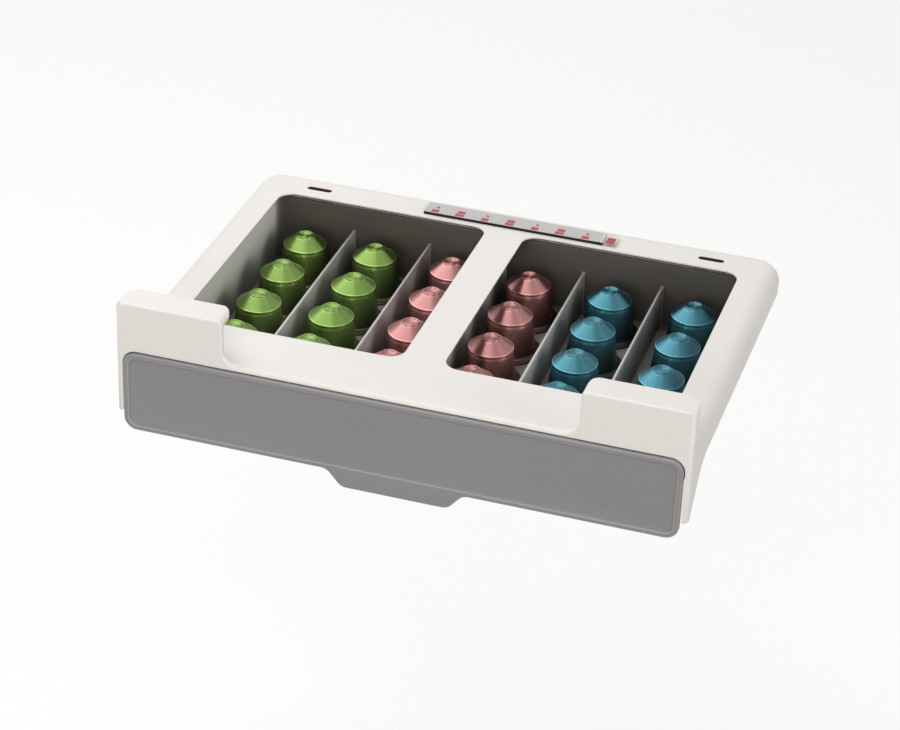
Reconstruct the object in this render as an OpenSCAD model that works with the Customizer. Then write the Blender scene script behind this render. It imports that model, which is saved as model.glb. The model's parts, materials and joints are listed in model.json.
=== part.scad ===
// Under-shelf drawer for coffee capsules.
//
// A shallow housing hangs under a cupboard shelf. Two hooks at its front
// corners reach over the shelf's front edge, and a tape strip at the back
// sticks to the underside of the shelf. A tray with six channels slides out
// of the housing to the front on two rails.
//
// The origin is midway between the two screw slots, in the plane of the
// housing's top face. +Z points up to the shelf, and the drawer opens
// towards -Y.

/* [Housing] */
// Width of the housing
body_w = 314; // [308:1:340]
// Depth of the housing from its front face to its back face
body_d = 226; // [222:1:250]
// Thickness of the top plate
plate_t = 2.6; // [2:0.1:3.2]
// Thickness of the skirt, the front frame and the legs
wall_t = 3; // [2.4:0.1:3.6]
// Height of the skirt at the sides and the back
skirt_h = 17; // [14:0.5:22]
// Radius of the rounded edge between top plate and skirt
edge_r = 10; // [5:0.5:12]
// Plan radius of the two back corners
corner_r = 14; // [13:0.5:20]
// Height of the front legs below the top face
leg_h = 40.5; // [36:0.5:46]
// Width of a leg as seen from the front
leg_w = 3.5; // [3:0.1:5]
// Depth of a leg at its foot
leg_foot = 4; // [3:0.5:8]
// Slope of the gusset behind a leg, from the horizontal
leg_slope = 46; // [35:1:60]
// Radius where the gusset sweeps into the skirt
leg_sweep_r = 24; // [10:1:30]
// Radius of a leg's lower corners
foot_r = 1; // [0.4:0.1:1.4]

/* [Windows] */
// Width of the bar between the windows
bar_w = 22.8; // [18:0.2:30]
// Distance from the side of the housing to a window
side_border = 20; // [20:0.2:30]
// Distance from the front face to the windows
front_border = 39.6; // [34:0.2:50]
// Distance from the back face to the windows
back_border = 27.8; // [27:0.2:40]
// Corner radius of the windows
win_r = 9; // [4:0.5:16]
// Thickness of the lip around windows and screw slots
lip_t = 0.9; // [0.8:0.1:1.6]
// Width of the lip around the windows
lip_w = 2; // [1:0.1:4]

/* [Hooks] */
// Width of each hook, measured in from the side of the housing
hook_w = 60; // [40:1:80]
// How far the hooks reach back from the front face
hook_d = 17.5; // [12:0.5:24]
// Gap for the shelf between the top face and the hooks
shelf_gap = 22.2; // [16:0.2:30]
// Thickness of the hooks' upper flange
hook_t = 3.4; // [2.4:0.1:4]
// Plan radius of the hooks' outer back corners
hook_plan_r = 12; // [2:0.5:14]
// Plan radius of the hooks' inner back corners
hook_end_r = 8; // [2:0.5:12]
// Plan radius of the housing's front corners
front_r = 2.4; // [1:0.1:2.8]
// Radius where a hook rises from the top face
hook_root_r = 9; // [3:0.5:12]
// Radius of the hooks' upper corners as seen from the front
hook_side_r = 3; // [1:0.5:6]
// Radius between a hook's wall and its flange
hook_inner_r = 3; // [1:0.5:6]
// Radius of the flange's back edges
hook_lip_r = 0.8; // [0.3:0.1:1.6]

/* [Screw slots] */
// Distance between the centres of the two slots
slot_spacing = 236; // [180:1:250]
// Distance from the back face to the slots
slot_inset = 17.5; // [15:0.5:19]
// Length of a slot
slot_l = 15; // [10:0.5:20]
// Width of a slot
slot_w = 4; // [3:0.1:5]
// Width of the lip around a slot
slot_lip = 1.2; // [0.6:0.1:2]
// Depth of the pocket below a slot
slot_pocket_h = 9; // [5:0.5:12]
// Thickness of the pocket's wall
slot_pocket_t = 1.4; // [1:0.1:2]

/* [Tape strip] */
// Length of the foam tape
tape_l = 107; // [60:1:130]
// Width of the foam tape
tape_w = 11.5; // [8:0.5:13]
// Thickness of the foam tape
tape_t = 1.7; // [0.8:0.1:2]
// Distance from the windows to the tape
tape_gap = 3.6; // [2:0.2:6]
// Offset of the tape from the middle, to the right
tape_shift = 2; // [-5:0.5:5]
// Thickness of the release liner
liner_t = 0.3; // [0.2:0.05:0.5]
// Thickness of the pull film
film_t = 0.25; // [0.2:0.05:0.5]
// Length of the pull film beyond the tape
film_reach = 8; // [4:0.5:12]
// Length of the pull film on the tape, where the liner leaves it free
film_lap = 2; // [1:0.5:6]
// Corner radius of the pull film
film_r = 1.5; // [0.5:0.1:4]

/* [Rails] */
// Thickness of the rail's walls
rail_t = 1.8; // [1.4:0.1:2.2]
// Width of the rail's section
rail_w = 8.4; // [7.6:0.1:10]
// Height of the rail's section
rail_h = 9; // [8.4:0.1:10]
// Height of the bosses that the rails are screwed to
boss_h = 5; // [4:0.5:6]
// Diameter of the bosses
boss_d = 6.4; // [5.4:0.1:7]
// Gap between a rail and the side wall
rail_side_gap = 1.5; // [0.8:0.1:2]
// Gap between a rail and the front frame
rail_front_gap = 0.2; // [0.1:0.1:1]
// Gap between a rail's ledge and the tray's wall
ledge_gap = 2.6; // [2:0.1:3]
// Number of screws in each rail
rail_screws = 3; // [2:1:5]
// How far the screws sit off the middle of the rail, towards the tray
rail_screw_shift = 0.8; // [0.4:0.1:1]
// Distance from a rail's ends to its outer screws
rail_screw_inset = 20; // [12:1:30]
// Length of the stop block at a rail's front end
stop_l = 6; // [3:0.5:12]

/* [Tray] */
// Thickness of the tray's walls
tray_t = 2; // [1.6:0.1:2.4]
// Gap between the tray and the housing's back wall
tray_back_gap = 22; // [18:0.5:30]
// Radius of the tray's corners
tray_r = 6; // [3:0.5:10]
// Height of the tray's inside
tray_in_h = 40; // [34:0.5:42]
// Gap between the tray's rim and the top plate
rim_gap = 0.8; // [0.6:0.1:2]
// Thickness of the flanges that carry the tray
flange_t = 1.8; // [1.4:0.1:2.2]
// Thickness of the glide's outer wall
glide_t = 1.6; // [1.2:0.1:2]
// Distance from the tray's front to the glides
glide_inset = 4; // [2:0.5:10]
// Length of the rib on the tray that meets the stop block
rib_l = 4; // [3:0.5:8]
// How far the drawer slides out
travel = 160; // [100:1:165]
// Running gap between the drawer and the housing
run_gap = 0.3; // [0.2:0.05:0.4]

/* [Front panel] */
// Thickness of the panel
panel_t = 3; // [2.6:0.1:4]
// How far the panel stands proud of the housing
panel_proud = 1.6; // [0.5:0.1:1.9]
// Gap around the panel at its top and sides
panel_gap = 0.5; // [0.4:0.1:1]
// Depth of the panel's lower edge below the top face
panel_low = 50.5; // [49:0.5:56]
// Corner radius of the panel
panel_r = 7.5; // [6:0.5:11]
// Width of the panel's raised rim
rim_w = 4.2; // [3:0.1:5.4]
// Height of the raised rim above the panel's field
rim_h = 1; // [0.5:0.1:1.2]
// Width of the pull tab at its root
tab_root_w = 75.5; // [60:0.5:100]
// Width of the pull tab at its lower edge
tab_tip_w = 59; // [40:0.5:60]
// Height of the pull tab
tab_h = 9.6; // [6:0.2:12]
// Radius of the pull tab's corners
tab_r = 7; // [2:0.5:8]

/* [Dividers] */
// Thickness of the dividers
divider_t = 1.6; // [1.2:0.1:2]
// Height of the dividers
divider_h = 25.5; // [18:0.5:30]
// Depth of the grooves that hold the dividers
groove_d = 1; // [0.6:0.1:1.2]
// Gap between a divider and its grooves
groove_gap = 0.2; // [0.1:0.05:0.3]

/* [Capsules] */
// Number of capsules standing in each channel
pod_rows = 4; // [1:1:4]
// Pitch of the capsules along a channel
pod_pitch = 37.4; // [37.3:0.1:39]
// Gap between the last capsule and the tray's back wall
pod_back_gap = 1.2; // [0.5:0.1:3]
// Diameter of a capsule's flange
pod_d = 37.2; // [36:0.1:37.2]
// Height of a capsule
pod_h = 28.4; // [26:0.1:30]
// Diameter of the body just above the flange
pod_body_d = 29.6; // [28:0.1:31]
// Diameter at the shoulder
pod_shoulder_d = 25; // [23:0.1:26]
// Height of the cone above the shoulder
pod_cone_h = 5.6; // [4:0.1:7]
// Diameter of the ring at the top of the cone
pod_ring_d = 10; // [8:0.1:12]
// Thickness of the capsule's wall
pod_t = 0.6; // [0.4:0.1:0.8]
// Thickness of the capsule's rolled flange
pod_flange_t = 1.3; // [1:0.1:1.6]
// Thickness of the foil lid
foil_t = 0.3; // [0.2:0.05:0.4]
// How far a row leans to the right, as a share of its play, for each channel
pod_lean = [0, -0.93, -0.93, -0.93, -0.55, 0];

/* [Hidden] */
$fn = 64;
eps = 0.01;

// Housing
half_w = body_w / 2;
back_y = slot_inset;
front_y = back_y - body_d;
inner_half = half_w - wall_t;
frame_back = front_y + wall_t;

// Windows
win_w = half_w - bar_w / 2 - side_border;
win_d = body_d - front_border - back_border;
win_x0 = bar_w / 2;
win_y0 = front_y + front_border;
win_y1 = win_y0 + win_d;

// Hooks
hook_x0 = half_w - hook_w;
hook_top = shelf_gap + hook_t;

// Tape
tape_y = win_y1 + tape_gap;

// Tray, between the two rails
rail_out = inner_half - rail_side_gap;
rail_in = rail_out - rail_w;
tray_out_half = rail_in - ledge_gap;
tray_half = tray_out_half - tray_t;
panel_front = front_y - panel_proud;
panel_back = panel_front + panel_t;
tray_y0 = panel_back;
tray_in_y0 = tray_y0 + tray_t;
tray_y1 = back_y - wall_t - tray_back_gap;
tray_in_y1 = tray_y1 - tray_t;
tray_top = -plate_t - rim_gap;
floor_z = tray_top - tray_in_h;

// Each channel has its own divider and capsules
channels = 6;
channel_pitch = 2 * tray_half / channels;

// Rails
rail_top = -plate_t - boss_h;
rail_low = rail_top - rail_h;
rail_y0 = frame_back + rail_front_gap;
rail_y1 = back_y - corner_r;
rail_screw_x = (rail_in + rail_out) / 2 - rail_screw_shift;
ledge_z = rail_low + rail_t;

// Glides and flanges, which run in the rails
glide_out = rail_out - rail_t - run_gap;
glide_low = ledge_z + run_gap;
glide_top = rail_top - rail_t - run_gap;
glide_y0 = tray_y0 + glide_inset;
glide_y1 = rail_y1 - rail_t - run_gap;
glide_in = rail_in + run_gap;
flange_z = (glide_low + glide_top) / 2;
flange_tip = glide_out - glide_t;
flange_fit = 0.1;

// The block on the rail stops this rib on the tray
stop_y = rail_y0 + stop_l;
rib_y0 = stop_y + travel + run_gap;

// Screws
screw_d = 2.4;
screw_head_d = 4.6;
screw_l = 6;
csk_h = (screw_head_d - screw_d) / 2;
csk_recess_h = 0.7;
screw_gap = 0.1;
screw_tip_gap = 0.4;

// Front panel
panel_half = half_w - leg_w - panel_gap;
panel_top = -plate_t - panel_gap;
panel_boss_d = 6;
panel_boss_z = (panel_top - panel_low) / 2;
panel_boss_x = [-2.5, -0.5, 0.5, 2.5] * channel_pitch;
pilot_floor = 0.8;
pan_head_d = 8;
pan_head_h = 1.8;
pan_recess_h = 1;
pan_tip_gap = 0.2;

// Capsules
pod_y1 = tray_in_y1 - pod_back_gap - pod_d / 2;
pod_side_gap = 0.2;
pod_play = (channel_pitch - divider_t - pod_d) / 2 - pod_side_gap;
pod_edge = 0.4;
pod_foot_r = 0.9;
pod_rim_h = 0.7;
pod_rim_in = 0.3;
pod_neck_h = 1.6;
pod_neck_out = 0.1;
pod_ring_h = 0.5;
pod_ring_t = 0.8;
pod_dimple_h = 1;
foil_half = pod_d / 2 - pod_flange_t;

// ---- Shapes that are used more than once ----

function unit(v) = v / norm(v);

function turned(v, a) = [v.x * cos(a) - v.y * sin(a), v.x * sin(a) + v.y * cos(a)];

// The arc that rounds the corner c between the points p and n with radius r
function corner_arc(p, c, n, r, steps) =
    r <= 0 ? [c] :
    let (a = unit(p - c),
         b = unit(n - c),
         half = acos(a * b) / 2,
         centre = c + unit(a + b) * r / sin(half),
         start = c + a * r / tan(half) - centre,
         end = c + b * r / tan(half) - centre,
         sweep = (180 - 2 * half) * sign(cross(start, end)))
    [for (i = [0:steps]) centre + turned(start, sweep * i / steps)];

// An outline with one radius for each of its corners
function rounded_path(corners, radii, steps = 8) =
    let (n = len(corners))
    [for (i = [0:n - 1])
        each corner_arc(corners[(i + n - 1) % n], corners[i], corners[(i + 1) % n], radii[i], steps)];

// An outline that is the same on both sides of the Y axis
function both_sides(half) = concat(half, [for (i = [len(half) - 1:-1:0]) [-half[i].x, half[i].y]]);
function both_radii(half) = concat(half, [for (i = [len(half) - 1:-1:0]) half[i]]);

// A rectangle with true round corners, with its centre on the origin
module rounded_rect(w, h, r) {
    square([w - 2 * r, h], center = true);
    square([w, h - 2 * r], center = true);
    for (x = [-1, 1], y = [-1, 1])
        translate([x * (w / 2 - r), y * (h / 2 - r)]) circle(r);
}

module box(low, high) {
    translate(low) cube(high - low);
}

// Copies the right-hand piece to the side s, 1 for right and -1 for left
module on_side(s) {
    if (s > 0) children();
    else mirror([1, 0, 0]) children();
}

// Turns an outline in (x, z) into a plate from y0 to y1
module along_y(y0, y1) {
    translate([0, y1, 0]) rotate([90, 0, 0]) linear_extrude(y1 - y0) children();
}

// Turns an outline in (y, z) into a bar from x0 to x1
module along_x(x0, x1) {
    translate([x0, 0, 0]) rotate([90, 0, 90]) linear_extrude(x1 - x0) children();
}

// ---- Housing ----

// Section of an edge, from the corner's axis outwards, with its top rounded
module edge_section(rc, re, top, low) {
    difference() {
        translate([0, low]) square([rc, top - low]);
        translate([rc - re, top - re]) difference() {
            square(2 * re);
            circle(re);
        }
    }
}

// A slab with rounded edges and corners at the sides and the back
module rounded_slab(half, back, rc, re, top, low) {
    x = half - rc;
    y = back - rc;
    box([-x, front_y, low], [x, y, top]);
    for (s = [1, -1]) on_side(s) {
        translate([x, 0, 0]) along_y(front_y, y) edge_section(rc, re, top, low);
        translate([x, y, 0]) rotate_extrude() edge_section(rc, re, top, low);
    }
    translate([0, y, 0]) along_x(-x, x) edge_section(rc, re, top, low);
}

// Front frame: a thin band over the panel, with a leg at each side
module front_frame() {
    half = [
        [half_w, 0],
        [half_w, -leg_h],
        [half_w - leg_w, -leg_h],
        [half_w - leg_w, -plate_t]
    ];
    radii = [0, foot_r, foot_r, panel_r + panel_gap];
    along_y(front_y, frame_back)
        polygon(rounded_path(both_sides(half), both_radii(radii)));
}

// A hook: a wall that rises from the front face, and a flange over the shelf
module hook() {
    low = -plate_t;
    intersection() {
        along_x(hook_x0 - hook_root_r, half_w)
            polygon(rounded_path(
                [[front_y, low], [front_y, hook_top], [front_y + hook_d, hook_top],
                 [front_y + hook_d, shelf_gap], [frame_back, shelf_gap], [frame_back, low]],
                [0, 0, hook_lip_r, hook_lip_r, hook_inner_r, 0]));
        along_y(front_y, front_y + hook_d)
            polygon(rounded_path(
                [[hook_x0 - hook_root_r, low], [hook_x0 - hook_root_r, 0], [hook_x0, 0],
                 [hook_x0, hook_top], [half_w, hook_top], [half_w, low]],
                [0, 0, hook_root_r - eps, hook_side_r, hook_side_r, 0]));
        translate([0, 0, low]) linear_extrude(hook_top - low)
            polygon(rounded_path(
                [[hook_x0 - hook_root_r, front_y], [hook_x0 - hook_root_r, frame_back],
                 [hook_x0, frame_back], [hook_x0, front_y + hook_d],
                 [half_w, front_y + hook_d], [half_w, front_y]],
                [0, 0, 0, hook_end_r, hook_plan_r, 0]));
    }
}

// The side wall behind a leg, which sweeps up into the skirt
module gusset() {
    foot = front_y + leg_foot;
    rise = leg_h - skirt_h;
    corner = foot + rise / tan(leg_slope);
    over = 2 * wall_t;
    along_x(inner_half, half_w)
        polygon(rounded_path(
            [[frame_back - eps, -leg_h], [foot, -leg_h], [corner, -skirt_h],
             [corner + leg_sweep_r, -skirt_h], [corner + leg_sweep_r, over - skirt_h],
             [frame_back - eps, over - skirt_h]],
            [0, foot_r, leg_sweep_r, 0, 0, 0]));
}

// What is cut off a front corner to round it, from the hooks' tops to the feet
module front_corner() {
    low = -leg_h - wall_t;
    translate([half_w - front_r, front_y + front_r, low])
        linear_extrude(hook_top + wall_t - low) difference() {
            translate([0, -2 * front_r]) square(2 * front_r);
            circle(front_r);
        }
}

function rail_screw_ys() =
    let (y0 = rail_y0 + rail_screw_inset, y1 = rail_y1 - rail_screw_inset)
    [for (i = [0:rail_screws - 1]) y0 + (y1 - y0) * i / (rail_screws - 1)];

// A slot's outline, grown all round by reach, from the height low to high
module slot(x, reach, low, high) {
    r = slot_w / 2 + reach;
    translate([x, 0, low]) linear_extrude(high - low) {
        square([slot_l - slot_w, 2 * r], center = true);
        for (s = [-1, 1]) translate([s * (slot_l - slot_w) / 2, 0]) circle(r);
    }
}

// A window's outline, grown all round by reach, from the height low to high
module window(s, reach, low, high) {
    translate([s * (win_x0 + win_w / 2), win_y0 + win_d / 2, low]) linear_extrude(high - low)
        rounded_rect(win_w + 2 * reach, win_d + 2 * reach, win_r + reach);
}

module housing_frame() {
    inner_re = edge_r - wall_t;
    inner_rc = corner_r - wall_t;
    color([0.93, 0.92, 0.90]) difference() {
        union() {
            difference() {
                rounded_slab(half_w, back_y, corner_r, edge_r, 0, -skirt_h);
                translate([0, -eps, 0])
                    rounded_slab(inner_half, back_y - wall_t, inner_rc, inner_re,
                                 -plate_t, -2 * skirt_h);
            }
            front_frame();
            for (s = [1, -1]) on_side(s) {
                hook();
                gusset();
                for (y = rail_screw_ys())
                    translate([rail_screw_x, y, rail_top])
                        cylinder(d = boss_d, h = boss_h + plate_t / 2);
                slot(slot_spacing / 2, slot_lip + slot_pocket_t, -slot_pocket_h, -plate_t / 2);
            }
        }
        for (s = [-1, 1]) {
            window(s, 0, -2 * plate_t, plate_t);
            window(s, lip_w, -2 * plate_t, -lip_t);
            slot(s * slot_spacing / 2, 0, -2 * plate_t, plate_t);
            slot(s * slot_spacing / 2, slot_lip, -2 * slot_pocket_h, -lip_t);
        }
        for (s = [1, -1]) on_side(s) front_corner();
        for (s = [1, -1], y = rail_screw_ys())
            translate([s * rail_screw_x, y, rail_top - eps])
                cylinder(d = screw_d + screw_gap, h = boss_h - screw_tip_gap);
    }
}

// ---- Tape strip ----

module adhesive_foam() {
    color([0.16, 0.16, 0.16])
        box([tape_shift - tape_l / 2, tape_y, 0], [tape_shift + tape_l / 2, tape_y + tape_w, tape_t]);
}

module release_liner() {
    color([0.80, 0.80, 0.80])
        box([tape_shift - tape_l / 2, tape_y, tape_t],
            [tape_shift + tape_l / 2 - film_lap, tape_y + tape_w, tape_t + liner_t]);
}

module liner_pull_film() {
    end = tape_shift + tape_l / 2;
    color([0.95, 0.93, 0.90, 0.6])
        translate([end + (film_reach - film_lap) / 2, tape_y + tape_w / 2, tape_t])
            linear_extrude(film_t) rounded_rect(film_reach + film_lap, tape_w, film_r);
}

// ---- Rails ----

// A channel that is open to the inside, closed at the back, with a stop block
// in front that catches the rib on the tray
module rail() {
    difference() {
        union() {
            box([rail_in, rail_y0, rail_low], [rail_out, rail_y1, rail_top]);
            box([tray_out_half + run_gap, rail_y0, rail_low], [rail_in + eps, stop_y, ledge_z]);
        }
        box([rail_in - rail_t, rail_y0 - rail_t, ledge_z],
            [rail_out - rail_t, rail_y1 - rail_t, rail_top - rail_t]);
        for (y = rail_screw_ys()) translate([rail_screw_x, y, 0]) {
            translate([0, 0, rail_top - rail_t - eps])
                cylinder(d = screw_d + 3 * screw_gap, h = 2 * rail_t);
            translate([0, 0, rail_top - rail_t])
                cylinder(d1 = screw_head_d + 3 * screw_gap, d2 = screw_d + 3 * screw_gap, h = csk_h);
        }
    }
}

module rail_left() {
    color([0.93, 0.92, 0.90]) on_side(-1) rail();
}

module rail_right() {
    color([0.93, 0.92, 0.90]) on_side(1) rail();
}

// A cross recess, cut into a screw's head from below
module cross_recess(d, depth) {
    for (a = [0, 90]) rotate([0, 0, a])
        translate([-d / 2, -d / 8, -eps]) cube([d, d / 4, depth]);
}

module countersunk_screw() {
    difference() {
        union() {
            cylinder(d1 = screw_head_d, d2 = screw_d, h = csk_h);
            cylinder(d = screw_d, h = screw_l);
        }
        cross_recess(screw_head_d / 2, csk_recess_h);
    }
}

module rail_screw_row(s) {
    color([0.75, 0.75, 0.77]) for (y = rail_screw_ys())
        translate([s * rail_screw_x, y, rail_top - rail_t]) countersunk_screw();
}

module rail_screws_left() {
    rail_screw_row(-1);
}

module rail_screws_right() {
    rail_screw_row(1);
}

// ---- Tray ----

module tray_block(half, y0, y1, low, top, r) {
    translate([0, (y0 + y1) / 2, low])
        linear_extrude(top - low) rounded_rect(2 * half, y1 - y0, r);
}

module flange() {
    box([tray_out_half - tray_t / 2, glide_y0, flange_z - flange_t / 2],
        [flange_tip, glide_y1 - glide_t, flange_z + flange_t / 2]);
    // the ear that carries the flange behind the tray's back wall
    box([tray_out_half - tray_t, tray_y1 - tray_r - tray_t, glide_low],
        [tray_out_half, glide_y1 - glide_t, glide_top]);
    box([tray_out_half - eps, rib_y0, ledge_z - rail_t + run_gap],
        [rail_in - run_gap, rib_y0 + rib_l, flange_z]);
}

module tray() {
    color([0.47, 0.47, 0.48]) difference() {
        union() {
            difference() {
                tray_block(tray_out_half, tray_y0, tray_y1, floor_z - tray_t, tray_top, tray_r);
                tray_block(tray_half, tray_in_y0, tray_in_y1, floor_z, tray_top + tray_t,
                           tray_r - tray_t);
            }
            for (s = [1, -1]) on_side(s) flange();
        }
        for (i = [1:channels - 1]) {
            w = divider_t / 2 + groove_gap;
            translate([-tray_half + i * channel_pitch, 0, 0])
                box([-w, tray_in_y0 - groove_d, floor_z],
                    [w, tray_in_y1 + groove_d, floor_z + divider_h + groove_gap]);
        }
        for (x = panel_boss_x) translate([x, tray_y0 - tray_t, panel_boss_z])
            rotate([-90, 0, 0]) cylinder(d = panel_boss_d + 4 * screw_gap, h = 3 * tray_t);
    }
}

// A smooth strip that is pushed onto the flange's edge and runs in the rail
module glide() {
    difference() {
        box([glide_in, glide_y0, glide_low], [glide_out, glide_y1, glide_top]);
        box([glide_in - glide_t, glide_y0 - glide_t, flange_z - flange_t / 2 - flange_fit],
            [flange_tip + flange_fit, glide_y1 - glide_t + flange_fit,
             flange_z + flange_t / 2 + flange_fit]);
    }
}

module glide_left() {
    color([0.88, 0.88, 0.86]) on_side(-1) glide();
}

module glide_right() {
    color([0.88, 0.88, 0.86]) on_side(1) glide();
}

// ---- Front panel ----

// The panel's outline, made smaller all round by inset
module panel_outline(inset) {
    top = panel_top - inset;
    low = -panel_low + inset;
    half = [
        [panel_half - inset, top],
        [panel_half - inset, low],
        [tab_root_w / 2, low],
        [tab_tip_w / 2, low - tab_h],
    ];
    r = panel_r - inset;
    polygon(rounded_path(both_sides(half), both_radii([r, r, tab_r, tab_r])));
}

// The sunk field of the panel has no pull tab
module panel_field() {
    w = 2 * (panel_half - rim_w);
    h = panel_top + panel_low - 2 * rim_w;
    translate([0, (panel_top - panel_low) / 2]) rounded_rect(w, h, panel_r - rim_w);
}

module front_panel() {
    color([0.54, 0.53, 0.54]) difference() {
        union() {
            along_y(panel_front, panel_back) panel_outline(0);
            for (x = panel_boss_x) translate([x, panel_back - eps, panel_boss_z])
                rotate([-90, 0, 0]) cylinder(d = panel_boss_d, h = tray_t + eps);
        }
        along_y(panel_front - rim_h, panel_front + rim_h) panel_field();
        for (x = panel_boss_x) translate([x, panel_front + rim_h + pilot_floor, panel_boss_z])
            rotate([-90, 0, 0]) cylinder(d = screw_d + screw_gap, h = panel_t + tray_t);
    }
}

module pan_screw() {
    difference() {
        union() {
            cylinder(d = pan_head_d, h = pan_head_h);
            cylinder(d = screw_d,
                     h = pan_head_h + panel_t + tray_t - rim_h - pilot_floor - pan_tip_gap);
        }
        cross_recess(pan_head_d / 2, pan_recess_h);
    }
}

module panel_screws() {
    color([0.75, 0.75, 0.77]) for (x = panel_boss_x)
        translate([x, tray_in_y0 + pan_head_h, panel_boss_z]) rotate([90, 0, 0]) pan_screw();
}

// ---- Dividers ----

module divider(i) {
    reach = groove_d - groove_gap;
    color([0.78, 0.78, 0.77]) translate([-tray_half + i * channel_pitch, 0, 0])
        box([-divider_t / 2, tray_in_y0 - reach, floor_z],
            [divider_t / 2, tray_in_y1 + reach, floor_z + divider_h]);
}

module divider_1() {
    divider(1);
}

module divider_2() {
    divider(2);
}

module divider_3() {
    divider(3);
}

module divider_4() {
    divider(4);
}

module divider_5() {
    divider(5);
}

// ---- Capsules ----

// Half section of a capsule's cup, standing on its flange
function cup_outer() =
    let (flange = pod_d / 2, body = pod_body_d / 2, neck = pod_shoulder_d / 2,
         shoulder = pod_h - pod_cone_h, ring = pod_ring_d / 2)
    [[flange - pod_edge, 0], [flange, pod_flange_t / 2], [flange - pod_edge, pod_flange_t],
     [body + pod_foot_r, pod_flange_t], [body, pod_flange_t + pod_foot_r],
     [neck + pod_neck_out, shoulder - pod_neck_h], [neck, shoulder - pod_rim_h],
     [neck - pod_rim_in, shoulder], [ring + pod_ring_h, pod_h - pod_ring_h], [ring, pod_h],
     [ring - pod_ring_t, pod_h], [ring - 2 * pod_ring_t, pod_h - pod_dimple_h],
     [0, pod_h - pod_dimple_h]];

function cup_inner() =
    let (body = pod_body_d / 2 - pod_t, neck = pod_shoulder_d / 2 - pod_t,
         shoulder = pod_h - pod_cone_h, dimple = pod_h - pod_dimple_h - pod_t)
    [[0, dimple], [pod_ring_d / 2 - 2 * pod_ring_t, dimple], [neck, shoulder - pod_t],
     [neck + pod_neck_out, shoulder - pod_neck_h], [body, pod_flange_t + pod_foot_r],
     [body, 2 * foil_t]];

// The flange is hollow below, where the foil is sealed to it
module cup() {
    rotate_extrude() polygon(concat(cup_outer(), cup_inner(),
        [[foil_half + foil_t, 2 * foil_t], [foil_half + foil_t, 0]]));
}

module foil() {
    translate([0, 0, foil_t]) cylinder(r = foil_half, h = foil_t);
}

// Places its child at each capsule of channel i
module in_channel(i) {
    x = -tray_half + (i - 0.5) * channel_pitch + pod_lean[i - 1] * pod_play;
    for (k = [0:pod_rows - 1]) translate([x, pod_y1 - k * pod_pitch, floor_z]) children();
}

// The capsules of one channel have one colour
function pod_color(i) =
    i <= 2 ? [0.56, 0.73, 0.32] : i <= 4 ? [0.82, 0.58, 0.58] : [0.29, 0.58, 0.68];

module capsules(i) {
    color(pod_color(i)) in_channel(i) cup();
}

module foil_lids(i) {
    color([0.82, 0.82, 0.83]) in_channel(i) foil();
}

module capsules_1() {
    capsules(1);
}

module capsules_2() {
    capsules(2);
}

module capsules_3() {
    capsules(3);
}

module capsules_4() {
    capsules(4);
}

module capsules_5() {
    capsules(5);
}

module capsules_6() {
    capsules(6);
}

module foil_lids_1() {
    foil_lids(1);
}

module foil_lids_2() {
    foil_lids(2);
}

module foil_lids_3() {
    foil_lids(3);
}

module foil_lids_4() {
    foil_lids(4);
}

module foil_lids_5() {
    foil_lids(5);
}

module foil_lids_6() {
    foil_lids(6);
}

housing_frame();
rail_left();
rail_right();
rail_screws_left();
rail_screws_right();
adhesive_foam();
release_liner();
liner_pull_film();
tray();
glide_left();
glide_right();
front_panel();
panel_screws();
divider_1();
divider_2();
divider_3();
divider_4();
divider_5();
capsules_1();
capsules_2();
capsules_3();
capsules_4();
capsules_5();
capsules_6();
foil_lids_1();
foil_lids_2();
foil_lids_3();
foil_lids_4();
foil_lids_5();
foil_lids_6();
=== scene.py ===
# %% [markdown]
# # A coffee capsule drawer that hangs under a shelf
#
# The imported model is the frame: every piece is already at its real size and place,
# in metres. This script dresses it. The housing and the tray get the small radius
# of moulded edges, the panel, the dividers and the capsules are worked out anew as
# smooth surfaces, and every piece gets a finish.
#
# The model's origin lies midway between the two screw slots, in the plane of the
# housing's top face. The shelf is above it, towards +Z, and the drawer opens
# towards -Y.

# %% Load the frame
import json
import math

import bmesh
import bpy
import numpy as np
from mathutils import Matrix, Vector


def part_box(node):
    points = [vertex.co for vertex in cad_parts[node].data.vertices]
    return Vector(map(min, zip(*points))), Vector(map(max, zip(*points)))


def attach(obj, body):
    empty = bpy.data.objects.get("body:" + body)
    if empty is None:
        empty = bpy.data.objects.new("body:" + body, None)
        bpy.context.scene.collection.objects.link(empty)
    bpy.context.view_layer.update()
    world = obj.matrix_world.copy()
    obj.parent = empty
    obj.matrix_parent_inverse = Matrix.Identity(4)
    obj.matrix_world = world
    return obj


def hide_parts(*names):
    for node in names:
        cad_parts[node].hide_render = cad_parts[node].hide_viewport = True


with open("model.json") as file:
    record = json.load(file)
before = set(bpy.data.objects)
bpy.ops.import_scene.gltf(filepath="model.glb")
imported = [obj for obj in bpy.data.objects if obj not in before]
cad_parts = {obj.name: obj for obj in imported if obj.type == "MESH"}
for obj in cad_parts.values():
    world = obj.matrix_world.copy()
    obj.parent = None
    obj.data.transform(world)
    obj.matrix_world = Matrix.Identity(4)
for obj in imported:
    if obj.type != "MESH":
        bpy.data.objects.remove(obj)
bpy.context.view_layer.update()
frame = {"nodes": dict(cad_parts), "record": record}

nodes = frame["nodes"]
MM = 0.001
print("nodes:", len(nodes))

# %% [markdown]
# ## Camera
#
# A long lens from the front right, above the top face, leaning a little to one
# side. It could be placed by its coordinates, but angles round a point on the top
# face are easier to think about: they say where a tripod would stand.

# %% The camera
azimuth, elevation, roll = (math.radians(angle) for angle in (16.40, 30.60, 2.40))
target = Vector((15.0, -165.6, 0.0)) * MM
camera_distance = 1.4625
lens_mm = 110.99

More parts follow.
